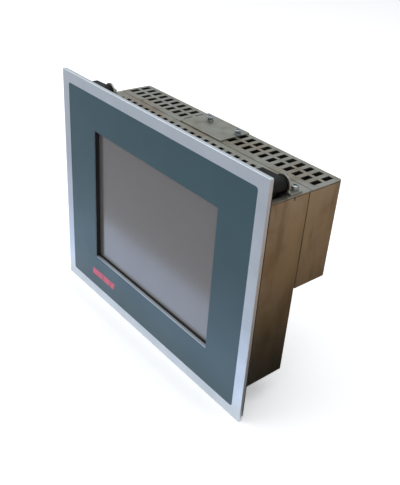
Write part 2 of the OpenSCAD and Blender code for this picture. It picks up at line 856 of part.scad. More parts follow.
// Puts a clamp's pieces at one corner: sx is -1 or 1, top is true or false
module corner(sx, top) {
    translate([sx * pivot_x(top), 0, top ? body_top + clamp_rise : -body_bottom - clamp_rise])
        mirror([0, 0, top ? 0 : 1]) children();
}

module clamp_bracket(sx) {
    color("#a9aca8") mirror([sx < 0 ? 1 : 0, 0, 0]) difference() {
        union() {
            slab(ear_y0, bracket_t) {
                circle(ear_r);
                translate([-0.7 * ear_r, -clamp_rise]) square([1.4 * ear_r, clamp_rise]);
            }
            translate([foot_shift - foot_w / 2, ear_y0, -clamp_rise])
                cube([foot_w, foot_len, bracket_t]);
        }
        rod(0, 0, pin_r + fit_gap, ear_y0 - 1, ear_y1 + 1);
        block([-foot_w, ear_y0 - 1, -clamp_rise - 10], [foot_w, ear_y0 + foot_len, -clamp_rise]);
        translate([foot_screw_x, foot_screw_y, -clamp_rise - 1])
            cylinder(r = cover_screw_r + gap, h = bracket_t + 2);
    }
}

// Riveted pivot pins, each with a head behind the ear and one before the lever
module clamp_pins() {
    color("#c4c6c8") for (sx = [-1, 1], top = [true, false]) corner(sx, top) {
        rod(0, 0, pin_r, lever_y0 - gap - 1.4, ear_y1 + 1.5);
        rod(0, 0, pin_r + 1.6, lever_y0 - gap - 1.4, lever_y0 - gap);
        rod(0, 0, pin_r + 1.8, ear_y1, ear_y1 + 1.5);
    }
}

// dir is 1 where the lever's free end points along +X, and -1 along -X
module clamp_lever(dir) {
    color("#1b1b1c") mirror([dir < 0 ? 1 : 0, 0, 0]) difference() {
        slab(lever_y0, lever_y1 - lever_y0) lobe(lever_r, lever_end_r, lever_reach);
        rod(0, 0, pin_r + running_gap, lever_y0 - 1, lever_y1 + 1);
        rod(lever_reach, 0, clamp_screw_r + running_gap, lever_y0 - 1, lever_y1 + 1);
    }
}

// The thrust pad that the clamping screw pushes against the cabinet sheet
module clamp_pad(dir) {
    color("#d8d4c4") translate([dir * lever_reach, 0, 0]) difference() {
        rod(0, 0, pad_r, pad_y0, pad_y1);
        rod(0, 0, tip_r + running_gap, pad_y0 + 0.6, pad_y1 + 1);
    }
}

module clamp_screw(dir) {
    shoulder = pad_y1 + gap;
    socket_r = 0.62 * clamp_screw_r;
    color("#b9bbbd") translate([dir * lever_reach, 0, 0]) difference() {
        union() {
            rod(0, 0, tip_r, pad_y0 + 0.7, shoulder);
            rod(0, 0, clamp_screw_r, shoulder, lever_y1 - 0.2);
        }
        rod(0, 0, socket_r, lever_y1 - 3.5, lever_y1 + 1, 6);
    }
}

front_plate();
front_overlay();
front_mark();
panel_gasket();
window_seal();
touch_glass();
touch_tail();
lcd_frame();
lcd_panel();
backlight_unit();
lcd_brackets();
front_studs();
stud_nuts();
tray_shell();
rear_box();
io_plate();
top_cover_plate();
cover_screws();
bracket_screws();
housing_screws();
seam_rivets();
earth_stud();
rating_label();
mainboard();
power_board();
inverter_board();
board_standoffs();
board_screws();
cpu_heat_sink();
memory_module();
card_socket();
memory_card();
disk_drive();
drive_bracket();
display_cable();
power_inlet();
ethernet_ports();
usb_ports();
dvi_port();
serial_port();
clamp_pins();
corner(-1, true) clamp_bracket(-1);  // clamp_bracket_tl
corner(1, true) clamp_bracket(1);  // clamp_bracket_tr
corner(-1, false) clamp_bracket(-1);  // clamp_bracket_bl
corner(1, false) clamp_bracket(1);  // clamp_bracket_br
corner(-1, true) clamp_lever(-1);  // clamp_lever_tl
corner(1, true) clamp_lever(-1);  // clamp_lever_tr
corner(-1, false) clamp_lever(1);  // clamp_lever_bl
corner(1, false) clamp_lever(-1);  // clamp_lever_br
corner(-1, true) clamp_pad(-1);  // clamp_pad_tl
corner(1, true) clamp_pad(-1);  // clamp_pad_tr
corner(-1, false) clamp_pad(1);  // clamp_pad_bl
corner(1, false) clamp_pad(-1);  // clamp_pad_br
corner(-1, true) clamp_screw(-1);  // clamp_screw_tl
corner(1, true) clamp_screw(-1);  // clamp_screw_tr
corner(-1, false) clamp_screw(1);  // clamp_screw_bl
corner(1, false) clamp_screw(-1);  // clamp_screw_br
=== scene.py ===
# %% [markdown]
# # An operator panel for a cabinet door
#
# The object is a flat touch panel that an electrician sets into a cut-out in a cabinet's
# door. A thick aluminium plate carries a printed film and a touch window. Behind it hangs a
# box of folded steel sheet, and four swing clamps on its top and bottom pull the plate
# against the door from behind.
#
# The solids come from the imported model, which also says what moves. This script gives each
# solid its finish, and remakes the ones whose edges, threads and screw recesses a plain
# solid can't show.

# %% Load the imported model
import json
from math import pi, radians

import bmesh
import bpy
import numpy as np
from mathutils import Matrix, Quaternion, Vector


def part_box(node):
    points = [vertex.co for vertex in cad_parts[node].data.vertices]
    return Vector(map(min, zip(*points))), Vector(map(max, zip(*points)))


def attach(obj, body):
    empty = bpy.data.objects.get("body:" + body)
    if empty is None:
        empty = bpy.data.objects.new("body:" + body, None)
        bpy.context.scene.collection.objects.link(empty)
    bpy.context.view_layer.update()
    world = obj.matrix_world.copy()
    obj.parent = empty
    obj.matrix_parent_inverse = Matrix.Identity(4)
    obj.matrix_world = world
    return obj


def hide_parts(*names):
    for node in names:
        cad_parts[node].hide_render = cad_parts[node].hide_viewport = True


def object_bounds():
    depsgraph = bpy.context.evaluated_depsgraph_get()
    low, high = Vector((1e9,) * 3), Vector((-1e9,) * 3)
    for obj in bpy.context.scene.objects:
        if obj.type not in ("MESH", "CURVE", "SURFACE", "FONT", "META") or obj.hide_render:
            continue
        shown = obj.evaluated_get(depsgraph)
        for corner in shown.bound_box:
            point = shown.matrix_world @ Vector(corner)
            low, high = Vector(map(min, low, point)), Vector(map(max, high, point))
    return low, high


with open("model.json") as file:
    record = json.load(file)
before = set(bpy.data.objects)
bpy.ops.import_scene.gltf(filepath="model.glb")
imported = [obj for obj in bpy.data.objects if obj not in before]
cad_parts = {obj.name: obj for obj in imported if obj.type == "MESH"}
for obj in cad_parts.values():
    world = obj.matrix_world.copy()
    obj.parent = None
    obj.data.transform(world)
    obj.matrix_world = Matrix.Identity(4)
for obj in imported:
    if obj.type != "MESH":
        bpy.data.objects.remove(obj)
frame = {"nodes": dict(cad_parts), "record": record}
cad_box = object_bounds()
MM = 0.001
record = frame["record"]
slot_of = {part["node"]: part["material_slot"] for part in record["subparts"]}
body_of = {n: body for body, names in record["behaviour"]["bodies"].items() for n in names}
scene = bpy.context.scene

# %% [markdown]
# ## The camera
#
# The camera stands to the right of the operator and looks down at the panel. Its place, the
# point it looks at and a slight tilt of its horizon say everything about the view. A longer
# lens than the eye's keeps the plate's edges nearly parallel.

# %% Place the camera
EYE = Vector((0.5100, -0.3795, 0.3760))
AIM = Vector((0.0291, 0.0462, -0.0113))
TILT = radians(4.38)

lens = bpy.data.cameras.new("camera")
lens.lens = 49.63
lens.sensor_width = 36.0
camera = bpy.data.objects.new("camera", lens)
scene.collection.objects.link(camera)
level = (AIM - EYE).to_track_quat("-Z", "Y")
camera.rotation_mode = "QUATERNION"
camera.rotation_quaternion = level @ Quaternion((0, 0, 1), TILT)
camera.location = EYE
scene.camera = camera
print("camera", round((AIM - EYE).length, 3), "m from its aim")

# %% [markdown]
# ## Colours
#
# A colour is written as the hex value that a colour picker shows. A renderer adds up light,
# so each value is turned into linear light first. One function does that for every finish.

# %% Turn a hex colour into linear light
def linear(hex_colour):
    """Each channel v of the hex value becomes ((v + 0.055) / 1.055) to the power 2.4, or
    v / 12.92 where it is very dark."""
    channels = np.array([int(hex_colour[i:i + 2], 16) for i in (1, 3, 5)]) / 255
    low, high = channels / 12.92, ((channels + 0.055) / 1.055) ** 2.4
    return (*np.where(channels <= 0.04045, low, high).tolist(), 1.0)


print("mid grey in linear light", round(linear("#808080")[0], 3))

# %% [markdown]
# ## Node trees
#
# A finish is a tree of nodes. Every node is added by one small function: a value that is
# named like a socket is linked or set there, and any other value is a setting of the node.

# %% Add one node with its settings and links
def add(tree, kind, settings=None, **sockets):
    """Adds a node. settings are its properties. sockets are its inputs by name, with _ for a
    space: another node's output is linked, and a number or colour is set."""
    made = tree.nodes.new("ShaderNode" + kind)
    for name, value in (settings or {}).items():
        setattr(made, name, value)
    for name, value in sockets.items():
        wanted = name.replace("_", " ")
        socket = next(s for s in made.inputs if s.name == wanted and s.enabled)
        if isinstance(value, bpy.types.NodeSocket):
            tree.links.new(value, socket)
        else:
            socket.default_value = value
    return made


def per_mm(size):
    """The scale of a pattern, in repeats a metre, whose features are size mm across."""
    return 1000 / size


print("a 2 mm pattern has scale", per_mm(2))

# %% [markdown]
# ## The studio
#
# The panel stands on the lower edge of its plate, on a white table that runs out of sight.
# The light is soft: an even white room and two large softboxes. Glass and bare metal show
# little but what they mirror, so three cards lie on the table, as a product photographer
# puts them: a pale one close in front of the panel, a grey one farther out, and a brown one
# at its side that gets lighter with its distance. Only reflections see them. The brown card's
# almost black end by the panel is a painted shadow: the panel's own shade on the table, as
# the housing's side walls mirror it.

# %% Lay the floor
def flat_sheet(name, corners):
    """A mesh of one face through the corners, given in order."""
    mesh = bpy.data.meshes.new(name)
    mesh.from_pydata([tuple(c) for c in corners], [], [tuple(range(len(corners)))])
    sheet = bpy.data.objects.new(name, mesh)
    scene.collection.objects.link(sheet)
    return sheet


FLOOR_Z = cad_box[0][2]
FLOOR_HALF = 6.0
floor = flat_sheet("floor", [(sx * FLOOR_HALF, sy * FLOOR_HALF, FLOOR_Z)
                             for sx, sy in ((-1, -1), (1, -1), (1, 1), (-1, 1))])
paper = bpy.data.materials.new("white table paper")
paper.use_nodes = True
shade = paper.node_tree.nodes["Principled BSDF"]
shade.inputs["Base Color"].default_value = linear("#f2f2f2")
shade.inputs["Roughness"].default_value = 0.9
shade.inputs["Emission Color"].default_value = linear("#ffffff")
shade.inputs["Emission Strength"].default_value = 0.3
floor.data.materials.append(paper)

# %% Light the room
room = bpy.data.worlds.new("room")
room.use_nodes = True
room.node_tree.nodes["Background"].inputs["Color"].default_value = linear("#f4f7fb")
room.node_tree.nodes["Background"].inputs["Strength"].default_value = 0.62
scene.world = room
scene.view_settings.view_transform = "Standard"


def softbox(name, place, aim, size, watts):
    """A square area light of the given side, turned towards its aim."""
    lamp = bpy.data.lights.new(name, "AREA")
    lamp.size = size
    lamp.energy = watts
    box = bpy.data.objects.new(name, lamp)
    box.location = place
    box.rotation_mode = "QUATERNION"
    box.rotation_quaternion = (Vector(aim) - Vector(place)).to_track_quat("-Z", "Y")
    scene.collection.objects.link(box)


MIDDLE = (0, 0, 0)
softbox("left softbox", (-1.3, -1.1, 1.5), MIDDLE, 2.4, 24)
softbox("top softbox", (0.2, 0.3, 2.0), MIDDLE, 1.6, 16)

# %% [markdown]
# A card is a flat sheet that glows by itself. Its mirror image in the panel's front has a
# clear upper edge, which is the edge between the pale card and the grey one.

# %% Lay the cards
def card(name, corners, hex_near, hex_far, axis, near, far, strength=1.0):
    """A card that only reflections see. Its colour runs from near to far along one axis."""
    made = flat_sheet(name, corners)
    made.visible_camera = made.visible_diffuse = made.visible_shadow = False
    made.visible_transmission = False
    board = bpy.data.materials.new(name)
    board.use_nodes = True
    tree = board.node_tree
    tree.nodes.clear()
    place = add(tree, "SeparateXYZ", Vector=add(tree, "TexCoord").outputs["Object"])
    along = add(tree, "MapRange", {"clamp": True}, Value=place.outputs[axis],
                From_Min=near, From_Max=far)
    tint = add(tree, "Mix", {"data_type": "RGBA"}, Factor=along.outputs["Result"])
    tint.inputs[6].default_value = linear(hex_near)
    tint.inputs[7].default_value = linear(hex_far)
    glow = add(tree, "Emission", Color=tint.outputs[2], Strength=strength)
    out = add(tree, "OutputMaterial")
    tree.links.new(glow.outputs[0], out.inputs["Surface"])
    made.data.materials.append(board)


LOW = FLOOR_Z + 1 * MM
PALE_GLOW = 2.0
# The brown card's near end, almost black, is a painted shadow of the panel on the table. It
# lightens to brown away from the panel.
card("brown card with painted shadow", [(0.10, 0.0, LOW), (0.32, 0.0, LOW), (0.32, -0.9, LOW), (0.9, -0.9, LOW),
                    (0.9, 1.2, LOW), (0.10, 1.2, LOW)],
     "#120e08", "#b5906c", "X", 0.215, 0.38)
card("pale card", [(-0.7, -0.108, LOW), (0.17, -0.108, LOW), (0.17, -0.03, LOW),
                   (-0.7, -0.03, LOW)],
     "#c9d6ee", "#c9d6ee", "Y", -0.05, -0.12, strength=PALE_GLOW)
card("grey card", [(-1.6, -0.109, LOW), (0.31, -0.109, LOW), (0.31, -1.6, LOW), (-1.6, -1.6, LOW)],
     "#cbcdd2", "#b4b7bd", "Y", -0.12, -0.4)

# %% [markdown]
# ## A general finish
#
# Most finishes here share a recipe: two close colours in soft patches, a fine grain that
# lifts the surface a little, and a roughness that drifts with the patches. The size of the
# patches and of the grain, in millimetres, makes one look cast and another rolled.

# %% Build a finish from patches and grain
def finish(name, hex_a, hex_b, patch=20, grain=0.5, lift=0.01, rough=(0.4, 0.5),
           stretch=(1, 1, 1), bumps=True, **constants):
    """Patches mix colour a and colour b by smooth noise. The grain is a finer noise that the
    Bump node reads as a height of lift mm. stretch slows the pattern along an axis."""
    made = bpy.data.materials.new(name)
    made.use_nodes = True
    tree = made.node_tree
    shader = tree.nodes["Principled BSDF"]
    place = add(tree, "Mapping", Vector=add(tree, "TexCoord").outputs["Object"], Scale=stretch)
    patches = add(tree, "TexNoise", Vector=place.outputs[0], Scale=per_mm(patch), Detail=3.0)
    spread = add(tree, "MapRange", Value=patches.outputs["Fac"], From_Min=0.3, From_Max=0.7)
    tint = add(tree, "Mix", {"data_type": "RGBA"}, Factor=spread.outputs[0])
    tint.inputs[6].default_value = linear(hex_a)
    tint.inputs[7].default_value = linear(hex_b)
    tree.links.new(tint.outputs[2], shader.inputs["Base Color"])
    dull = add(tree, "MapRange", Value=patches.outputs["Fac"], From_Min=0.3, From_Max=0.7,
               To_Min=rough[0], To_Max=rough[1])
    tree.links.new(dull.outputs[0], shader.inputs["Roughness"])
    if bumps:
        fine = add(tree, "TexNoise", Vector=place.outputs[0], Scale=per_mm(grain), Detail=2.0)
        relief = add(tree, "Bump", Height=fine.outputs["Fac"], Distance=lift * MM, Strength=1.0)
        tree.links.new(relief.outputs[0], shader.inputs["Normal"])
    for socket, value in constants.items():
        shader.inputs[socket.replace("_", " ")].default_value = value
    finishes[name] = made
    return made


finishes = {}
print("finishes are kept by name")

# %% [markdown]
# ## Metals
#
# The front plate is aluminium that was blasted to a satin and clear anodised: pale, slightly
# blue, with a grain too fine to see as more than a softness. The housing is steel sheet with
# a zinc and chromate coating, which is grey with olive and brown clouds some centimetres
# across and runs of darker olive down its walls. The hatch and the clamps' brackets are the
# same sheet with a cleaner coat. Screws and pins are bright zinc.

# %% Make the plain metals
finish("anodised aluminium", "#ccd3da", "#c4ccd3", patch=30, grain=0.35, lift=0.012,
       rough=(0.5, 0.56), Metallic=1.0)
finish("bright zinc", "#a9b0b2", "#878e90", patch=3, grain=0.2, lift=0.004,
       rough=(0.26, 0.4), Metallic=1.0)
finish("dull zinc", "#b4b5b2", "#9d9f9d", patch=6, grain=0.3, lift=0.008,
       rough=(0.34, 0.46), Metallic=1.0)
finish("yellow brass", "#c9a24f", "#b48d42", patch=4, grain=0.3, lift=0.004,
       rough=(0.25, 0.38), Metallic=1.0)
finish("tinned shell", "#c9cbcd", "#b3b5b8", patch=5, grain=0.25, lift=0.004,
       rough=(0.22, 0.32), Metallic=1.0)
finish("black anodised extrusion", "#1c1c1e", "#262628", patch=8, grain=0.3, lift=0.006,
       rough=(0.42, 0.52), stretch=(1, 1, 0.2), Metallic=0.7)
finish("cast drive case", "#b0b2b4", "#9b9da0", patch=8, grain=0.5, lift=0.02,
       rough=(0.38, 0.5), Metallic=1.0)

# %% Make the chromated sheet
def chromated(name, hex_grey, hex_olive, hex_brown, rough):
    """Zinc sheet: a grey base, olive clouds about 60 mm across, brown clouds about 35 mm
    across, runs of darker olive that follow the sheet's height, and faint rolling lines."""
    made = bpy.data.materials.new(name)
    made.use_nodes = True
    tree = made.node_tree
    shader = tree.nodes["Principled BSDF"]
    place = add(tree, "TexCoord").outputs["Object"]
    clouds = add(tree, "TexNoise", Vector=place, Scale=per_mm(60), Detail=2.0)
    wide = add(tree, "MapRange", Value=clouds.outputs["Fac"], From_Min=0.35, From_Max=0.65)
    olive = add(tree, "Mix", {"data_type": "RGBA"}, Factor=wide.outputs[0])
    olive.inputs[6].default_value = linear(hex_grey)
    olive.inputs[7].default_value = linear(hex_olive)
    blots = add(tree, "TexNoise", Vector=place, Scale=per_mm(35), Detail=3.0, Distortion=0.6)
    small = add(tree, "MapRange", Value=blots.outputs["Fac"], From_Min=0.42, From_Max=0.68,
                To_Max=0.75)
    brown = add(tree, "Mix", {"data_type": "RGBA"}, Factor=small.outputs[0])
    tree.links.new(olive.outputs[2], brown.inputs[6])
    brown.inputs[7].default_value = linear(hex_brown)
    upright = add(tree, "Mapping", Vector=place, Scale=(1.0, 1.0, 0.16))
    runs = add(tree, "TexNoise", Vector=upright.outputs[0], Scale=per_mm(14), Detail=3.0)
    thin = add(tree, "MapRange", Value=runs.outputs["Fac"], From_Min=0.5, From_Max=0.75,
               To_Max=0.55)
    tint = add(tree, "Mix", {"data_type": "RGBA"}, Factor=thin.outputs[0])
    tree.links.new(brown.outputs[2], tint.inputs[6])
    tint.inputs[7].default_value = linear(RUN_HEX)
    tree.links.new(tint.outputs[2], shader.inputs["Base Color"])
    dull = add(tree, "MapRange", Value=blots.outputs["Fac"], From_Min=0.3, From_Max=0.7,
               To_Min=rough[0], To_Max=rough[1])
    tree.links.new(dull.outputs[0], shader.inputs["Roughness"])
    # rolling lines are about 0.01 mm apart on real sheet, drawn at 0.4 mm so that they show
    rolled = add(tree, "Mapping", Vector=place, Scale=(0.03, 1.0, 1.0))
    lines = add(tree, "TexNoise", Vector=rolled.outputs[0], Scale=per_mm(0.4), Detail=2.0)
    relief = add(tree, "Bump", Height=lines.outputs["Fac"], Distance=0.004 * MM, Strength=1.0)
    tree.links.new(relief.outputs[0], shader.inputs["Normal"])
    shader.inputs["Metallic"].default_value = 1.0
    finishes[name] = made


RUN_HEX = "#6e6650"
chromated("chromated zinc sheet", "#aeb0a9", "#a2a296", "#978b79", (0.3, 0.42))
chromated("chromated zinc hatch", "#a8aaa4", "#a2a296", "#928c7f", (0.34, 0.46))
print(len(finishes), "metals")

# %% [markdown]
# ## Film, glass and rubber
#
# The film on the plate is printed polyester with an embossed matt face, which turns the
# light of the table into a soft sheen. The touch glass carries a hard matt coat with a
# strong mirror image, over a display that is switched off and looks warm grey.

# %% Make the front's finishes
finish("matt printed film", "#274853", "#23444f", patch=60, grain=0.3, lift=0.01,
       rough=(0.38, 0.44), IOR=1.48)
finish("red print", "#bf4a63", "#b8435c", patch=10, grain=0.3, lift=0.006,
       rough=(0.45, 0.5), IOR=1.5)
finish("hard coated touch film", "#565352", "#535050", patch=50, grain=0.1, lift=0.001,
       rough=(0.16, 0.2), IOR=2.0, bumps=False)
finish("foam rubber", "#0b0b0b", "#101010", patch=2, grain=0.4, lift=0.05,
       rough=(0.7, 0.85), IOR=1.45)
finish("amber polyimide", "#a8702a", "#9a6424", patch=6, grain=0.4, lift=0.004,
       rough=(0.3, 0.4), IOR=1.6)

# %% [markdown]
# ## Plastics, boards and labels
#
# Levers are cast and painted matt black. The boards are green laminate, whose copper traces
# show through the lacquer as slightly lighter lines a millimetre or two apart.

# %% Make the finishes of the plastics
finish("matt black paint", "#070807", "#0b0c0b", patch=4, grain=0.45, lift=0.035,
       rough=(0.5, 0.6), IOR=1.3)
finish("black moulded plastic", "#18191a", "#1f2021", patch=5, grain=0.3, lift=0.01,
       rough=(0.4, 0.5), IOR=1.5)
finish("green moulded plastic", "#2f7d4c", "#2a7446", patch=5, grain=0.3, lift=0.01,
       rough=(0.35, 0.45), IOR=1.5)
finish("white moulded plastic", "#e4e2d8", "#dad8cd", patch=5, grain=0.3, lift=0.01,
       rough=(0.35, 0.45), IOR=1.5)
finish("natural nylon", "#d9d4c2", "#cdc8b6", patch=3, grain=0.3, lift=0.01,
       rough=(0.4, 0.5), IOR=1.53, Subsurface_Weight=0.15, Subsurface_Scale=1 * MM)
finish("display glass", "#1b1c1f", "#202124", patch=20, grain=0.1, lift=0.001,
       rough=(0.08, 0.12), IOR=1.52, bumps=False)
finish("black film case", "#202022", "#29292b", patch=12, grain=0.4, lift=0.01,
       rough=(0.5, 0.6), IOR=1.5)
finish("grey ribbon cable", "#8e9094", "#808286", patch=3, grain=0.6, lift=0.03,
       rough=(0.4, 0.5), stretch=(1, 0.05, 0.05), IOR=1.5)


# %% Make the circuit board's finish
def laminate(name, pitch=3):
    """Green lacquer over copper: the traces are the narrow borders between the cells of a
    Voronoi pattern that is pitch mm across."""
    made = bpy.data.materials.new(name)
    made.use_nodes = True
    tree = made.node_tree
    shader = tree.nodes["Principled BSDF"]
    place = add(tree, "TexCoord").outputs["Object"]
    cells = add(tree, "TexVoronoi", {"feature": "DISTANCE_TO_EDGE"}, Vector=place,
                Scale=per_mm(pitch), Randomness=0.6)
    trace = add(tree, "MapRange", Value=cells.outputs["Distance"], From_Min=0.06,
                From_Max=0.1, To_Min=1.0, To_Max=0.0)
    tint = add(tree, "Mix", {"data_type": "RGBA"}, Factor=trace.outputs[0])
    tint.inputs[6].default_value = linear("#1c5a34")
    tint.inputs[7].default_value = linear("#3b7d4c")
    tree.links.new(tint.outputs[2], shader.inputs["Base Color"])
    relief = add(tree, "Bump", Height=trace.outputs[0], Distance=0.03 * MM, Strength=1.0)
    tree.links.new(relief.outputs[0], shader.inputs["Normal"])
    shader.inputs["Roughness"].default_value = 0.32
    shader.inputs["IOR"].default_value = 1.5
    finishes[name] = made


laminate("green board laminate")


# %% [markdown]
# ## The rating label
#
# A real label is silver polyester with a printed frame and lines of text. Here it stays
# blank: only the thin frame and two rules are printed, by the distance from the label's
# middle.

# %% Make the label's finish
FRAME_AT = 0.92
RULE_AT = 0.33
RULE_END = 0.85
HALF_LINE = 0.012


def blank_label(name, node):
    """x and z run from -1 to 1 over the label. The frame is where the larger of |x| and |z|
    is close to FRAME_AT. The rules are where |z| is close to RULE_AT, as far as RULE_END."""
    low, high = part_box(node)
    middle, half = (low + high) / 2, (high - low) / 2
    made = bpy.data.materials.new(name)
    made.use_nodes = True
    tree = made.node_tree
    shader = tree.nodes["Principled BSDF"]
    place = add(tree, "Mapping", {"vector_type": "TEXTURE"},
                Vector=add(tree, "TexCoord").outputs["Object"],
                Location=middle, Scale=(half.x, 1.0, half.z))
    parts = add(tree, "SeparateXYZ", Vector=place.outputs[0])
    across = add(tree, "Math", {"operation": "ABSOLUTE"}, Value=parts.outputs["X"])
    up = add(tree, "Math", {"operation": "ABSOLUTE"}, Value=parts.outputs["Z"])
    edge = add(tree, "Math", {"operation": "MAXIMUM"}, Value=across.outputs[0])
    tree.links.new(up.outputs[0], edge.inputs[1])
    border = add(tree, "Math", {"operation": "COMPARE"}, Value=edge.outputs[0])
    border.inputs[1].default_value = FRAME_AT
    border.inputs[2].default_value = HALF_LINE
    rule = add(tree, "Math", {"operation": "COMPARE"}, Value=up.outputs[0])
    rule.inputs[1].default_value = RULE_AT
    rule.inputs[2].default_value = HALF_LINE
    inside = add(tree, "Math", {"operation": "LESS_THAN"}, Value=across.outputs[0])
    inside.inputs[1].default_value = RULE_END
    rules = add(tree, "Math", {"operation": "MULTIPLY"}, Value=rule.outputs[0])
    tree.links.new(inside.outputs[0], rules.inputs[1])
    ink = add(tree, "Math", {"operation": "MAXIMUM"}, Value=border.outputs[0])
    tree.links.new(rules.outputs[0], ink.inputs[1])
    tint = add(tree, "Mix", {"data_type": "RGBA"}, Factor=ink.outputs[0])
    tint.inputs[6].default_value = linear("#cfd1d2")
    tint.inputs[7].default_value = linear("#25272a")
    tree.links.new(tint.outputs[2], shader.inputs["Base Color"])
    shader.inputs["Roughness"].default_value = 0.4
    shader.inputs["IOR"].default_value = 1.5
    finishes[name] = made


blank_label("blank silver label", "rating_label")

# %% [markdown]
# ## Which slot gets which finish
#
# The record names a material slot for every node. One dictionary says which finish belongs
# to each slot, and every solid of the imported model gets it.

# %% Give every solid its finish
FINISH_OF = {
    "anodised_plate": "anodised aluminium", "overlay_film": "matt printed film",
    "mark_print": "red print", "gasket_rubber": "foam rubber",
    "touch_glass": "hard coated touch film", "polyimide": "amber polyimide",
    "display_frame": "dull zinc", "display_cell": "display glass",
    "backlight_case": "black film case", "bright_zinc": "bright zinc",
    "clamp_screw_steel": "bright zinc", "passivated_sheet": "chromated zinc sheet",
    "cover_sheet": "chromated zinc hatch", "brass": "yellow brass",
    "label": "blank silver label", "circuit_board": "green board laminate",
    "heat_sink": "black anodised extrusion", "black_plastic": "black moulded plastic",
    "drive_case": "cast drive case", "cable_film": "grey ribbon cable",
    "terminal_green": "green moulded plastic", "connector_shell": "tinned shell",
    "connector_white": "white moulded plastic", "bracket_zinc": "chromated zinc hatch",
    "lever_black": "matt black paint", "pad_nylon": "natural nylon",
}


def dress(piece, slot):
    """Puts the slot's finish on a piece, in every material slot of its mesh."""
    made = finishes[FINISH_OF[slot]]
    if not piece.data.materials:
        piece.data.materials.append(made)
    for i in range(len(piece.data.materials)):
        piece.data.materials[i] = made


for node, slot in slot_of.items():
    dress(frame["nodes"][node], slot)
print(len(set(slot_of.values())), "slots dressed")

# %% [markdown]
# ## Softened edges
#
# A real edge is never perfectly sharp. Cut plate has a hair of a radius, folded sheet a
# bend about as wide as the sheet is thick, and cast levers are round to the touch. A copy of
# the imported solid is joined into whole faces, and a Bevel modifier rounds its edges, so the
# size stays the same. Each edge has a weight, so one solid can have sharp holes and wide
# bends.

# %% Copy a solid and round its edges
MERGE = 0.003 * MM
SHARP = radians(32)
FLAT = radians(0.5)


def adopt(piece, nodes, slot, body):
    """A new piece stands for CAD nodes: it takes their finish and moves with their body."""
    dress(piece, slot)
    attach(piece, body)
    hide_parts(*nodes)
    return piece


def rounded(node, radius, bend=None, bend_radius=0.0, steps=3):
    """Copies a node, merges its loose triangles into whole faces, and bevels its edges.
    bend works out, from the ends of the edges in mm, a wider radius for some of them, up to
    bend_radius."""
    mesh = frame["nodes"][node].data.copy()
    mesh.name = node + "_rounded"
    form = bmesh.new()
    form.from_mesh(mesh)
    bmesh.ops.remove_doubles(form, verts=form.verts, dist=MERGE)
    bmesh.ops.dissolve_limit(form, angle_limit=FLAT, verts=form.verts,
                             edges=form.edges)
    form.to_mesh(mesh)
    form.free()
    if "custom_normal" in mesh.attributes:
        mesh.attributes.remove(mesh.attributes["custom_normal"])
    mesh.shade_smooth()
    mesh.set_sharp_from_angle(angle=SHARP)
    count = len(mesh.edges)
    sharp = np.zeros(count, bool)
    mesh.attributes["sharp_edge"].data.foreach_get("value", sharp)
    ends = np.zeros(count * 2, np.int32)
    mesh.edges.foreach_get("vertices", ends)
    points = np.zeros(len(mesh.vertices) * 3, np.float32)
    mesh.vertices.foreach_get("co", points)
    pairs = points.reshape(-1, 3)[ends].reshape(-1, 2, 3) / MM
    weight = np.where(sharp, 1.0, 0.0)
    width = max(radius, bend_radius)
    weight *= radius / width
    if bend is not None:
        weight = np.where(sharp, np.maximum(weight, bend(pairs[:, 0], pairs[:, 1]) / width), 0)
    marks = mesh.attributes.new("bevel_weight_edge", "FLOAT", "EDGE")
    marks.data.foreach_set("value", weight.astype(np.float32))
    piece = bpy.data.objects.new(node + "_rounded", mesh)
    scene.collection.objects.link(piece)
    bevel = piece.modifiers.new("rounded edges", "BEVEL")
    bevel.limit_method = "WEIGHT"
    bevel.width = width * MM
    bevel.segments = steps
    bevel.harden_normals = True
    adopt(piece, [node], slot_of[node], body_of[node])
    print(node, len(mesh.polygons), "faces,", int(sharp.sum()), "rounded edges")
    return piece


# %% [markdown]
# ## Plate, film, seal and gasket
#
# The plate's machined chamfer gets a hair of a radius, which is the thin bright line that
# runs along its top. The rubber pieces are softer.

# %% Round the front's pieces
rounded("front_plate", 0.18)
rounded("panel_gasket", 0.6)
rounded("window_seal", 0.15)
rounded("touch_glass", 0.2)
rounded("front_overlay", 0.08, steps=2)

# %% [markdown]
# ## Folded sheet
#
# The housing's long outer edges are bends, and the one along its rear at the top is the
# widest. The edges of slots and holes were punched and stay nearly sharp. A bend runs along
# the outside of the housing, so an edge whose two ends lie on two outer faces is one.

# %% Round the housing's sheets
PUNCHED = 0.25
BEND = 0.9
REAR_BEND = 2.6
CLOSE = 0.02
JOINT_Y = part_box("rear_box")[0][1] / MM
TOP_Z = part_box("rear_box")[1][2] / MM


def outer_bends(node):
    """Edges whose ends share two outer faces get the bend's radius. The edge at the top of
    the joint between tray and box stays sharp, and the box's rear top edge is wider."""
    low, high = (np.array(c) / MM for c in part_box(node))

    def test(a, b):
        on_low = (np.abs(a - low) < CLOSE) & (np.abs(b - low) < CLOSE)
        on_high = (np.abs(a - high) < CLOSE) & (np.abs(b - high) < CLOSE)
        radius = np.where((on_low.astype(int) + on_high).sum(axis=1) >= 2, BEND, 0.0)
        top = (np.abs(a[:, 2] - TOP_Z) < CLOSE) & (np.abs(b[:, 2] - TOP_Z) < CLOSE)
        joint = (np.abs(a[:, 1] - JOINT_Y) < CLOSE) & (np.abs(b[:, 1] - JOINT_Y) < CLOSE)
        radius[top & joint] = 0.0
        if node == "rear_box":
            radius[top & on_high[:, 1]] = REAR_BEND
        return radius

    return test


rounded("tray_shell", PUNCHED, outer_bends("tray_shell"), BEND)
rounded("rear_box", PUNCHED, outer_bends("rear_box"), REAR_BEND, steps=4)
rounded("top_cover_plate", 0.3)
rounded("io_plate", PUNCHED)

# %% [markdown]
# ## Swing clamps
#
# A clamp is a bracket bent from 2 mm strip, a cast lever that turns on a riveted pin, and a
# screw with a thrust pad. The lever is round all over from its mould.

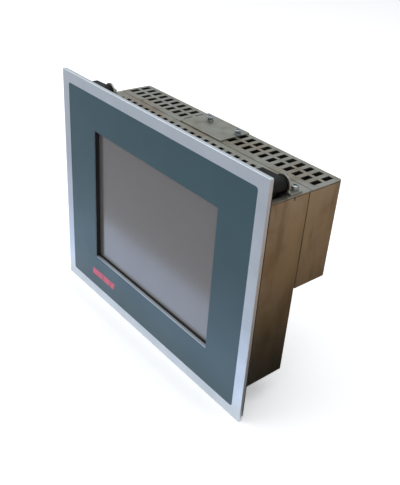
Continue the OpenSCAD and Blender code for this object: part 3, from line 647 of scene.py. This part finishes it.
# %% Round the clamps
for corner in ("tl", "tr", "bl", "br"):
    rounded("clamp_bracket_" + corner, 0.45)
    rounded("clamp_lever_" + corner, 1.1, steps=4)
    rounded("clamp_pad_" + corner, 0.35)
rounded("clamp_pins", 0.4)

# %% [markdown]
# ## Surfaces from two parameters
#
# Screws are turned and rolled, so they are worked out as surfaces: one parameter runs round
# the axis and the other along the outline. The whole grid of points is computed at once.

# %% Put a grid of points into a mesh
def skin(name, grids):
    """Each grid has rows, points round and xyz. Every four neighbours make a face, the grid
    wraps round, and a fan closes each end, so that the piece is a closed solid."""
    points, faces, start = [], [], 0
    for grid in grids:
        rows, around = grid.shape[:2]
        here = np.arange(rows * around).reshape(rows, around) + start
        beside = np.roll(here, -1, axis=1)
        quads = np.stack([here[:-1], beside[:-1], beside[1:], here[1:]], -1).reshape(-1, 4)
        first, last = start + rows * around, start + rows * around + 1
        fan_a = np.stack([np.full(around, first), beside[0], here[0]], -1)
        fan_b = np.stack([np.full(around, last), here[-1], beside[-1]], -1)
        points.append(np.concatenate([grid.reshape(-1, 3), [grid[0].mean(0)],
                                      [grid[-1].mean(0)]]))
        faces += quads.tolist() + fan_a.tolist() + fan_b.tolist()
        start += rows * around + 2
    mesh = bpy.data.meshes.new(name)
    mesh.from_pydata(np.concatenate(points).tolist(), [], faces)
    form = bmesh.new()
    form.from_mesh(mesh)
    bmesh.ops.recalc_face_normals(form, faces=form.faces)
    form.to_mesh(mesh)
    form.free()
    mesh.shade_smooth()
    mesh.set_sharp_from_angle(angle=radians(35))
    piece = bpy.data.objects.new(name, mesh)
    scene.collection.objects.link(piece)
    print(name, len(mesh.polygons), "faces")
    return piece


def stand(grid, foot, axis):
    """Turns a grid whose axis is Z so that it runs along axis, and moves its origin to foot."""
    turn = np.array(Vector((0, 0, 1)).rotation_difference(Vector(axis)).to_matrix())
    return grid @ turn.T + np.array(foot)


def loose_parts(node):
    """The lowest and highest corners of each separate solid of a node. Every point starts
    with its own number, and each edge passes the lower number on until none changes."""
    mesh = frame["nodes"][node].data.copy()
    form = bmesh.new()
    form.from_mesh(mesh)
    bmesh.ops.remove_doubles(form, verts=form.verts, dist=MERGE)
    form.to_mesh(mesh)
    form.free()
    ends = np.zeros(len(mesh.edges) * 2, np.int32)
    mesh.edges.foreach_get("vertices", ends)
    ends = ends.reshape(-1, 2)
    points = np.zeros(len(mesh.vertices) * 3, np.float32)
    mesh.vertices.foreach_get("co", points)
    points = points.reshape(-1, 3)
    label, before = np.arange(len(points)), None
    while before is None or (label != before).any():
        before = label.copy()
        lowest = label[ends].min(axis=1)
        np.minimum.at(label, ends[:, 0], lowest)
        np.minimum.at(label, ends[:, 1], lowest)
    bpy.data.meshes.remove(mesh)
    return [(points[label == i].min(0), points[label == i].max(0)) for i in np.unique(label)]


# %% [markdown]
# ## Screws with a cross recess
#
# A pan head is a low drum with a domed top. The driver's cross is pressed into it, deepest
# in the middle. The head's height is therefore a function of the radius and the angle. The
# larger screws stand on a flat washer and a spring washer.

# %% Work out a screw
RIM = 0.66
HEAD_TO_SHANK = 0.52


def smooth(x):
    """Rises from 0 to 1 as x goes from 0 to 1, flat at both ends: 3 x^2 - 2 x^3."""
    x = np.clip(x, 0, 1)
    return x * x * (3 - 2 * x)


def pan_screw(head_r, head_h, shank_r, shank_l, around=48):
    """Rows run up the shank, out under the head, up its rim and in over its dome. The dome
    falls as the square root of 1 - (r / R)^2, less the cross: two bars that cross at the
    axis, which get shallower towards their ends. The head's seat is at height 0, and its
    rim takes the share RIM of its height."""
    turn = np.linspace(0, 2 * pi, around, endpoint=False)
    low_r = [0.6 * shank_r, shank_r, shank_r, head_r - 0.15, head_r, head_r]
    low_h = [-shank_l, -shank_l + 0.4 * shank_r, 0, 0, 0.15, RIM * head_h]
    radius = np.concatenate([low_r, head_r * np.linspace(0.99, 0.04, 22)])
    height = np.concatenate([low_h, np.zeros(22)])
    r = radius[:, None] + 0 * turn
    x, y = r * np.cos(turn), r * np.sin(turn)
    h = height[:, None] + 0 * turn
    dome = np.arange(len(radius)) >= len(low_r)
    part = 1 - (r / head_r) ** 2
    crown = head_h * (RIM + (1 - RIM) * np.sqrt(np.clip(part, 0, 1)))
    narrow, long = np.minimum(abs(x), abs(y)), np.maximum(abs(x), abs(y))
    bar = smooth((0.17 * head_r - narrow) / (0.07 * head_r))
    end = smooth((0.62 * head_r - long) / (0.12 * head_r))
    cross = bar * end * head_h * (0.75 - 0.5 * long / head_r)
    h = np.where(dome[:, None], crown - cross, h)
    return np.stack([x, y, h], -1) * MM


# %% Work out a washer
def washer(outer_r, inner_r, low, high, tilt=0.0, around=48):
    """A ring with round edges. Its outline is a rectangle whose corners are cut by a tenth
    of a millimetre, and tilt lifts one side of it, as on a spring washer."""
    turn = np.linspace(0, 2 * pi, around, endpoint=False)
    cut = 0.12
    r = np.array([inner_r, outer_r - cut, outer_r, outer_r, outer_r - cut, inner_r])
    z = np.array([low, low, low + cut, high - cut, high, high])
    r, z = r[:, None] + 0 * turn, z[:, None] + tilt * (turn / pi - 1)
    return np.stack([r * np.cos(turn), r * np.sin(turn), z], -1) * MM


# %% Put the screws in
WASHER_HEAD_R = 3.8
WASHER_HEAD_H = 3.4
FLAT_HEAD = 0.72
SPRING_R = 3.6
SPRING_T = 1.0
WASHERS_T = 1.8


def replace_screws(node, outward, washers=False):
    """Puts a pan screw in the place of every screw of a node. outward says, from a screw's
    middle, whether its head looks up (1) or down (-1). With washers, the head stands on a
    flat washer and a spring washer."""
    grids = []
    for low, high in loose_parts(node):
        middle = (low + high) / 2
        up = outward(middle)
        widest = (high[0] - low[0]) / 2 / MM
        length = (high[2] - low[2]) / MM
        head_r = WASHER_HEAD_R if washers else widest
        head_h = WASHER_HEAD_H if washers else FLAT_HEAD * head_r
        top = high[2] if up > 0 else low[2]
        seat = (middle[0], middle[1], top - up * head_h * MM)
        screw = pan_screw(head_r, head_h, HEAD_TO_SHANK * head_r, length - head_h)
        grids.append(stand(screw, seat, (0, 0, up)))
        if washers:
            shank_r = HEAD_TO_SHANK * head_r
            flat = washer(widest, shank_r, -WASHERS_T, -SPRING_T)
            spring = washer(SPRING_R, shank_r, -SPRING_T + 0.1, -0.1, tilt=0.08)
            grids += [stand(flat, seat, (0, 0, up)), stand(spring, seat, (0, 0, up))]
    piece = skin(node + "_turned", grids)
    adopt(piece, [node], slot_of[node], body_of[node])
    return piece


replace_screws("cover_screws", lambda p: 1, washers=True)
replace_screws("bracket_screws", lambda p: 1 if p[2] > 0 else -1, washers=True)
replace_screws("housing_screws", lambda p: -1)

# %% [markdown]
# ## Threads
#
# The earthing stud and the four clamping screws are threaded. A thread's radius depends on
# how far along and how far round a point is: it falls and rises once for each pitch, and
# one turn shifts it by one pitch.

# %% Work out a thread
def threaded(radius, depth, pitch, start, stop, around=32, rows_per_pitch=8):
    """The radius is r minus the depth times a triangle wave of z / pitch minus angle / 2 pi.
    The wave fades out over one pitch at both ends."""
    turn = np.linspace(0, 2 * pi, around, endpoint=False)
    rows = int(round((stop - start) / pitch * rows_per_pitch)) + 1
    z = np.linspace(start, stop, rows)[:, None] + 0 * turn
    phase = (z / pitch - turn / (2 * pi)) % 1
    wave = 1 - abs(2 * phase - 1)
    fade = smooth((z - start) / pitch) * smooth((stop - z) / pitch)
    r = radius - depth * (wave * fade + (1 - fade))
    return np.stack([r * np.cos(turn), r * np.sin(turn), z], -1) * MM


# %% Make the clamping screws
THREAD_DEPTH = 0.45
PITCH = 0.8
SOCKET_DEPTH = 3.0
NECK_R = 1.6
NECK_L = 1.9


def clamp_screw(node):
    """Its outline runs up the thin neck, out over a shoulder, along the thread, and down
    into a hexagonal socket, whose radius is its half width over the cosine of the angle
    from the nearest flat's middle."""
    low, high = (np.array(c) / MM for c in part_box(node))
    middle = (low + high) / 2
    radius = (high[0] - low[0]) / 2
    total = high[1] - low[1]
    around = 36
    turn = np.linspace(0, 2 * pi, around, endpoint=False)
    body = threaded(radius, THREAD_DEPTH, PITCH, NECK_L + 0.3, total - 0.2, around)

    def ring(r, z):
        r = r + 0 * turn
        return np.stack([r * np.cos(turn), r * np.sin(turn), z + 0 * turn], -1)[None] * MM

    flat = 0.5 * radius / np.cos((turn + pi / 6) % (pi / 3) - pi / 6)
    rows = [ring(NECK_R - 0.2, 0), ring(NECK_R, 0.2), ring(NECK_R, NECK_L),
            ring(radius - THREAD_DEPTH, NECK_L), body,
            ring(radius - THREAD_DEPTH - 0.1, total), ring(flat + 0.1, total),
            ring(flat, total - 0.15), ring(flat, total - SOCKET_DEPTH)]
    grid = stand(np.concatenate(rows), np.array((middle[0], low[1], middle[2])) * MM, (0, 1, 0))
    piece = skin(node + "_threaded", [grid])
    adopt(piece, [node], slot_of[node], body_of[node])


for corner in ("tl", "tr", "bl", "br"):
    clamp_screw("clamp_screw_" + corner)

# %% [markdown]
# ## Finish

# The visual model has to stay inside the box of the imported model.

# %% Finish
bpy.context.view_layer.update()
